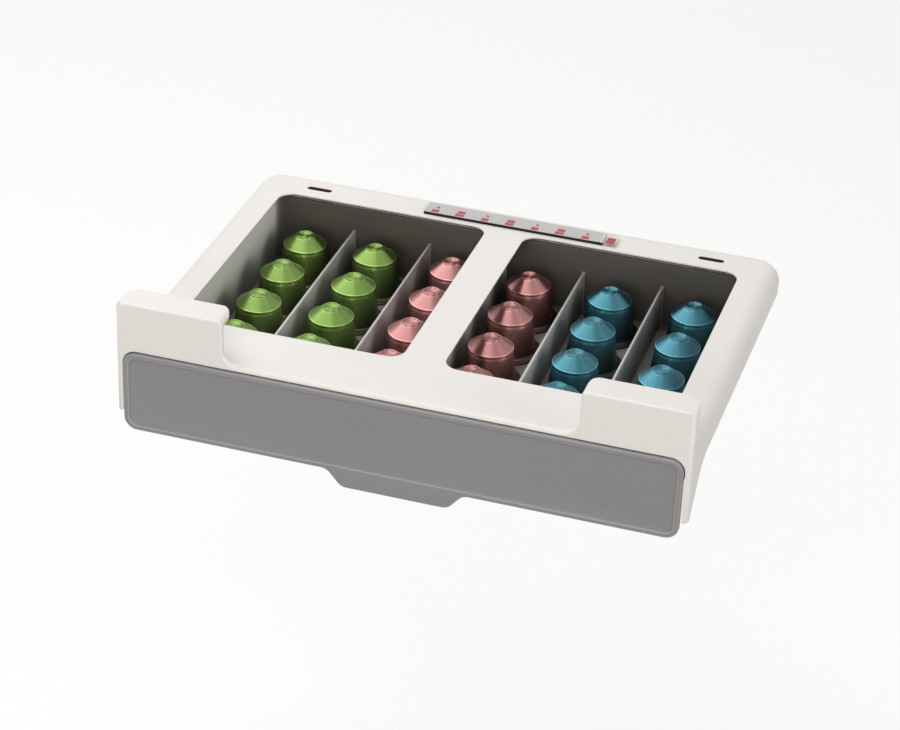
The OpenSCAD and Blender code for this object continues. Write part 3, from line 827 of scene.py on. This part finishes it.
def soften(node, radius, weight_of, name, segments=3):
    """A welded copy of a node whose sharp edges are rounded to radius times their weight."""
    mesh = nodes[node].data.copy()
    mesh.name = name
    work = bmesh.new()
    work.from_mesh(mesh)
    bmesh.ops.remove_doubles(work, verts=work.verts, dist=weld_distance)
    bmesh.ops.dissolve_limit(work, angle_limit=math.radians(flat_deg), verts=work.verts,
                             edges=work.edges)
    angles = np.array([edge.calc_face_angle(0.0) for edge in work.edges])
    work.to_mesh(mesh)
    work.free()
    sharp = angles > math.radians(sharp_edge_deg)
    weights = np.where(sharp, weight_of(edge_ends(mesh)), 0.0)
    layer = mesh.attributes.get("bevel_weight_edge") or mesh.attributes.new(
        "bevel_weight_edge", "FLOAT", "EDGE")
    layer.data.foreach_set("value", weights.astype(np.float32))
    shade_smooth(mesh)
    piece = dress(name, mesh, slot_of[node], body_of[node], [node])
    bevel = piece.modifiers.new("moulded_edges", "BEVEL")
    bevel.width = radius * MM
    bevel.segments = segments
    bevel.limit_method = "WEIGHT"
    bevel.use_clamp_overlap = False
    bevel.harden_normals = True
    piece.modifiers.new("flat_faces_stay_flat", "WEIGHTED_NORMAL")
    print(name, "rounds", int((weights > 0).sum()), "edges")


print("edges that turn by more than", sharp_edge_deg, "degrees are rounded")

# %% [markdown]
# ## Housing
#
# The housing's front edge, which runs along the top and over both hooks, is much
# rounder than its other edges, so it has the full weight. Over the hooks the
# weight falls to about half, and the legs and the windows keep a nearly crisp
# edge. The two outer corners and the feet are left to the frame's own shape.

# %% The housing
housing_low, housing_high = box_mm("housing_frame")
front_radius, front_segments = 2.2, 4
front_corner_r, hook_root_r = 2.4, 9.0
hook_share, leg_share, inner_share = 0.55, 0.06, 0.05
edge_slack, upper_low, foot_high = 0.05, -0.5, -38.5


def housing_weight(ends):
    """Full along the low front edge, about half over the hooks, less on the legs and inside."""
    x, y, z = np.abs(ends[:, :, 0]), ends[:, :, 1], ends[:, :, 2]
    front = (y < housing_low[1] + front_corner_r + edge_slack).all(axis=1)
    beside = (x > housing_high[0] - front_corner_r - edge_slack).all(axis=1)
    upper = front & (z > upper_low).all(axis=1)
    above_foot = (z > foot_high).any(axis=1)
    rise = np.clip(z.mean(axis=1) / hook_root_r, 0, 1)
    over_hooks = 1 - (1 - hook_share) * smooth_step(rise)
    share = np.where(upper, over_hooks, np.where(front, leg_share, inner_share))
    return np.where(front & beside, 0.0, share) * above_foot


soften("housing_frame", front_radius, housing_weight, "housing_moulding", front_segments)

# %% [markdown]
# ## Tray
#
# The tray's walls are thin, so its edges have one small radius all over.

# %% The tray
tray_radius = 0.5
soften("tray", tray_radius, lambda ends: np.ones(len(ends)), "tray_moulding")

# %% [markdown]
# ## Outline of the panel
#
# The panel is a plate with a pull tab, a rounded outer edge and a sunk field. Its
# outline is offset inwards by sliding every side along its normal: a corner then
# moves by the sum of its two normals over one plus their product, and its radius
# shrinks outside and grows inside.

# %% Round outlines and their offsets
def offset_corners(corners, inset):
    """Corners of a polygon, listed anticlockwise, with every side moved inwards by inset."""
    side = np.roll(corners, -1, axis=0) - corners
    length = np.linalg.norm(side, axis=1, keepdims=True)
    inward = np.column_stack([-side[:, 1], side[:, 0]]) / length
    before = np.roll(inward, 1, axis=0)
    spread = 1 + (inward * before).sum(axis=1, keepdims=True)
    return corners + inset * (inward + before) / spread


def rounded_loop(corners, radii, inset, arc_steps=14, side_steps=12):
    """A closed outline with round corners, offset inwards by inset.

    Each corner is an arc between its two tangent points, swept by slerp between
    the two normals, and each side is divided evenly between the arcs."""
    moved = offset_corners(corners, inset)
    back = np.roll(moved, 1, axis=0) - moved
    ahead = np.roll(moved, -1, axis=0) - moved
    back /= np.linalg.norm(back, axis=1, keepdims=True)
    ahead /= np.linalg.norm(ahead, axis=1, keepdims=True)
    convex = np.sign(back[:, 0] * ahead[:, 1] - back[:, 1] * ahead[:, 0]) < 0
    radius = np.where(convex, radii - inset, radii + inset)[:, None]
    half = np.arccos(np.clip((back * ahead).sum(axis=1, keepdims=True), -1, 1)) / 2
    middle = back + ahead
    middle /= np.linalg.norm(middle, axis=1, keepdims=True)
    centre = moved + middle * radius / np.sin(half)
    start = moved + back * radius / np.tan(half) - centre
    end = moved + ahead * radius / np.tan(half) - centre
    sweep = (math.pi - 2 * half)[:, None]
    t = np.linspace(0, 1, arc_steps + 1)[None, :, None]
    slerp = (np.sin((1 - t) * sweep) * start[:, None] + np.sin(t * sweep) * end[:, None])
    arcs = slerp / np.sin(sweep) + centre[:, None]
    u = (np.arange(side_steps) + 1)[None, :, None] / (side_steps + 1)
    sides = arcs[:, -1:] * (1 - u) + np.roll(arcs, -1, axis=0)[:, :1] * u
    return np.concatenate([arcs, sides], axis=1).reshape(-1, 2)


def nearest_on_round_box(points, centre, half, radius):
    """The nearest point of a rounded rectangle's outline to each point outside it."""
    core = np.clip(points - centre, -(half - radius), half - radius)
    away = points - centre - core
    return centre + core + radius * away / np.linalg.norm(away, axis=1, keepdims=True)


square = np.array([(-1.0, -1.0), (1.0, -1.0), (1.0, 1.0), (-1.0, 1.0)])
print("a round square has", len(rounded_loop(square, np.full(4, 0.5), 0.0)), "points")

# %% [markdown]
# ## Front panel
#
# The rows start at the panel's back, turn over its small back edge, cross its
# side, and turn over the rounder front edge. From there the flat rim runs to the
# nearest point of the field's outline, and the step down into the field follows a
# smooth S-curve, so that it catches a soft line of light. A bevel on the CAD solid
# would give the edge, but not that step.

# %% The panel
panel_low, panel_high = box_mm("front_panel")
panel_front, panel_thickness = panel_low[1], 3.0
panel_half, panel_bottom, panel_top = panel_high[0], -50.5, panel_high[2]
panel_radius = 7.5
tab_root, tab_tip, tab_radius = 37.75, 29.5, 7.0
rim_width, crest_width, rim_height = 4.2, 2.5, 1.0
edge_radius, back_radius = 1.1, 0.4
side_depths = np.array([1.25, 1.12])
back_rows, front_rows, step_rows = 4, 7, 11


def panel_rows():
    """The panel's loops from its back, over its edge and rim, down into the field."""
    corners = np.array([(-panel_half, panel_bottom), (-tab_root, panel_bottom),
                        (-tab_tip, panel_low[2]), (tab_tip, panel_low[2]),
                        (tab_root, panel_bottom), (panel_half, panel_bottom),
                        (panel_half, panel_top), (-panel_half, panel_top)])
    radii = np.array([panel_radius, *[tab_radius] * 4, *[panel_radius] * 3])
    over_back = np.linspace(0, math.pi / 2, back_rows)
    over_front = np.linspace(0, math.pi / 2, front_rows)
    insets = np.concatenate([back_radius * (1 - np.sin(over_back)), np.zeros(len(side_depths)),
                             edge_radius * (1 - np.cos(over_front))])
    depths = panel_front + np.concatenate([
        panel_thickness - back_radius * (1 - np.cos(over_back)), side_depths,
        edge_radius * (1 - np.sin(over_front))])
    rows = [np.insert(rounded_loop(corners, radii, inset), 1, depth, axis=1)
            for inset, depth in zip(insets, depths)]
    outer = rows[-1][:, [0, 2]]
    centre = np.array([0.0, (panel_top + panel_bottom) / 2])
    half = np.array([panel_half, (panel_top - panel_bottom) / 2])
    for t in np.linspace(0, 1, step_rows):
        inset = crest_width + (rim_width - crest_width) * t
        loop = nearest_on_round_box(outer, centre, half - inset, panel_radius - inset)
        rows.append(np.insert(loop, 1, panel_front + rim_height * smooth_step(t), axis=1))
    return np.array(rows)


rows = panel_rows()
print("the panel has", len(rows), "rows of", rows.shape[1], "points")

# %% [markdown]
# ## Painted light on the panel
#
# Rows are a handy place to write painted light down: the rounded edge and the crest
# of the rim carry a painted highlight, and the foot of the step a touch of painted
# shade. The back edge beside the legs takes a painted shadow, and the value fades
# in towards the panel's ends.

# %% Painted light by row, and the finished panel
# Painted light by row: a painted highlight where the value is above 0, painted shade where it is
# below.
light_rows = [7, 9, 11, 12, 13, 14, 15, 17, 19, 22, 23]
light_values = [0.0, 0.4, 0.4, 0.1, 0.1, 1.1, 1.1, 0.3, -0.25, -0.25, 0.0]
sheltered_rows = 5
gap_shade_from_end, gap_shade_fade = 2.0, 1.5

row_numbers = np.arange(len(rows))[:, None]
rubbed = np.interp(row_numbers, light_rows, light_values) + 0 * rows[:, :, 0]
# A painted shadow on the back rows beside the legs, fading in towards the panel's ends.
from_start = np.abs(rows[:, :, 0]) - panel_half + gap_shade_from_end
beside = smooth_step(np.clip(from_start / gap_shade_fade, 0, 1))
sheltered = beside * (row_numbers < sheltered_rows)
piece_from_loops("panel_moulding", rows[None], "panel_grey", "drawer", ["front_panel"],
                 sharp_deg=50, rubbed=rubbed[None, :, :, None],
                 sheltered=sheltered[None, :, :, None])

# %% [markdown]
# ## Dividers
#
# Each divider is a thin sheet whose top and upright ends are rounded. A row is the
# outline of its cross-section, a stadium that is open at the foot, and the rows
# follow one another along Y. At this thickness a Bevel modifier would nearly eat
# the sheet up, so the round is worked out instead.

# %% The dividers
end_share = 0.6
crown_points, end_rows = 13, 7


def divider_rows(low, high):
    """Cross-sections in X and Z along Y, drawn in by part of a quarter circle at both ends."""
    half = (high[0] - low[0]) / 2
    middle = (high[0] + low[0]) / 2
    turn = np.linspace(0, math.pi, crown_points)
    across = np.concatenate([[-1.0, 1.0], np.cos(turn)])
    crown = np.concatenate([[0.0, 0.0], np.sin(turn)])
    is_foot = np.arange(len(across)) < 2
    ease = np.linspace(0, math.pi / 2, end_rows)
    near_end = low[1] + half * end_share * (1 - np.sin(ease))
    shrink = 1 - end_share * (1 - np.cos(ease))
    y = np.concatenate([near_end[::-1], high[1] + low[1] - near_end])[:, None]
    scale = np.concatenate([shrink[::-1], shrink])[:, None]
    x = middle + half * scale * across
    z = np.where(is_foot, low[2], high[2] - half + half * scale * crown)
    return np.stack([x, y + 0 * x, z], axis=-1)


for number in range(1, 6):
    node = f"divider_{number}"
    piece_from_loops(f"{node}_sheet", divider_rows(*box_mm(node))[None], "divider_grey",
                     "drawer", [node])

# %% [markdown]
# ## Profile of a capsule
#
# A capsule is a turned shape. Its profile is a list of radius and height: a
# rolled rim on the tray's floor, a small foot fillet, a tapering wall, a slight
# neck, a crisp bead at the shoulder, a shallow cone and a raised ring around a
# dimple. Corners of the profile are rounded by an arc of their own radius.

# %% The profile
corner_share = 0.48


def rounded_profile(points, steps):
    """A polyline whose corners are replaced by arcs; each point is (radius, height, corner radius).

    The arc touches both neighbours at the corner radius times the tangent of
    half the turn from the corner, and is drawn as a quadratic Bezier curve."""
    points = np.array(points, dtype=float)
    out = [points[:1, :2]]
    t = np.linspace(0, 1, steps + 1)[:, None]
    for before, here, after in zip(points[:-2], points[1:-1], points[2:]):
        corner = here[:2]
        one, two = before[:2] - corner, after[:2] - corner
        long_one, long_two = np.linalg.norm(one), np.linalg.norm(two)
        one, two = one / long_one, two / long_two
        half = math.acos(np.clip((one * two).sum(), -1, 1)) / 2
        reach = min(here[2] / max(math.tan(half), 1e-6),
                    corner_share * long_one, corner_share * long_two)
        start, end = corner + one * reach, corner + two * reach
        out.append((1 - t) ** 2 * start + 2 * t * (1 - t) * corner + t ** 2 * end)
    out.append(points[-1:, :2])
    return np.vstack(out)


cup_profile = rounded_profile([
    (17.2, 0.0, 0), (18.3, 0.0, 0.3), (18.6, 0.65, 0.6), (18.2, 1.3, 0.3), (15.75, 1.3, 0.8),
    (14.8, 2.2, 0.9), (12.7, 19.8, 3.0), (12.15, 21.4, 0.5), (12.66, 21.85, 0.25),
    (12.62, 22.65, 0.3), (12.15, 22.8, 0.3), (6.0, 27.5, 1.0), (5.2, 27.8, 0.3),
    (4.95, 28.4, 0.3), (4.2, 28.4, 0.3), (3.7, 27.75, 0.5), (1.4, 27.6, 1.0),
    (1.1, 27.6, 0.2), (0.02, 27.6, 0)], steps=4)
print("the profile has", len(cup_profile), "points")

# %% [markdown]
# ## Capsules
#
# Four capsules stand in each channel, flange down and nearly touching. A Screw
# modifier would turn the profile, but it knows nothing of the brushed lines. So
# the rings are worked out here, together with the angle that the metal's finish
# reads, and the four cups of a channel become one piece.

# %% The capsules
ring_count = 72
pods_in_row = 4
bead_radius, bead_height = 12.3, 21.6


def turned(profile, centres):
    """A profile swung round the vertical axis at each centre, with its turn values and the painted
    highlight on its bead.

    A point lies at the radius times the cosine and sine of its angle. The turn holds
    that cosine and sine, and the distance along the profile."""
    angle = np.arange(ring_count) / ring_count * math.tau
    cos, sin = np.cos(angle), np.sin(angle)
    r, z = profile[:, 0][:, None], profile[:, 1][:, None]
    ring = np.stack([r * cos, r * sin, z + 0 * cos], axis=-1)
    run = np.concatenate([[0], np.cumsum(np.linalg.norm(np.diff(profile, axis=0), axis=1))])
    turn = np.stack([cos + 0 * r, sin + 0 * r, run[:, None] * MM + 0 * cos], axis=-1)
    # The bead at the shoulder is marked for a painted highlight.
    bead = (profile[:, 0] > bead_radius) & (profile[:, 1] > bead_height)
    rubbed = (bead[:, None] + 0 * cos)[:, :, None]
    return (centres[:, None, None, :] + ring[None],
            *(np.repeat(values[None], len(centres), axis=0) for values in (turn, rubbed)))


def row_centres(node):
    """Centres of one channel's capsules on the floor: even steps along the node's box."""
    low, high = box_mm(node)
    radius = (high[0] - low[0]) / 2
    y = np.linspace(low[1] + radius, high[1] - radius, pods_in_row)
    return np.column_stack([np.full(pods_in_row, (low[0] + high[0]) / 2), y,
                            np.full(pods_in_row, low[2])])


for number in range(1, 7):
    node = f"capsules_{number}"
    blocks, turn, rubbed = turned(cup_profile, row_centres(node))
    piece_from_loops(f"{node}_turned", blocks, slot_of[node], "drawer", [node],
                     sharp_deg=60, turn=turn, rubbed=rubbed)

# %% [markdown]
# ## The pieces that keep their frame shape
#
# Foil lids, rails, glides, screws and the tape are plain solids, so their frame
# meshes are shown as they are, with a finish of their own. Only their shading is
# smoothed, so that round shanks look round.

# %% Finishes for the rest
round_deg = 32
shown = {node: piece for node, piece in nodes.items() if not piece.hide_render}
for node, piece in shown.items():
    piece.data.materials.clear()
    piece.data.materials.append(finish[slot_of[node]])
    shade_smooth(piece.data, round_deg)
print("shown as in the frame:", len(shown))
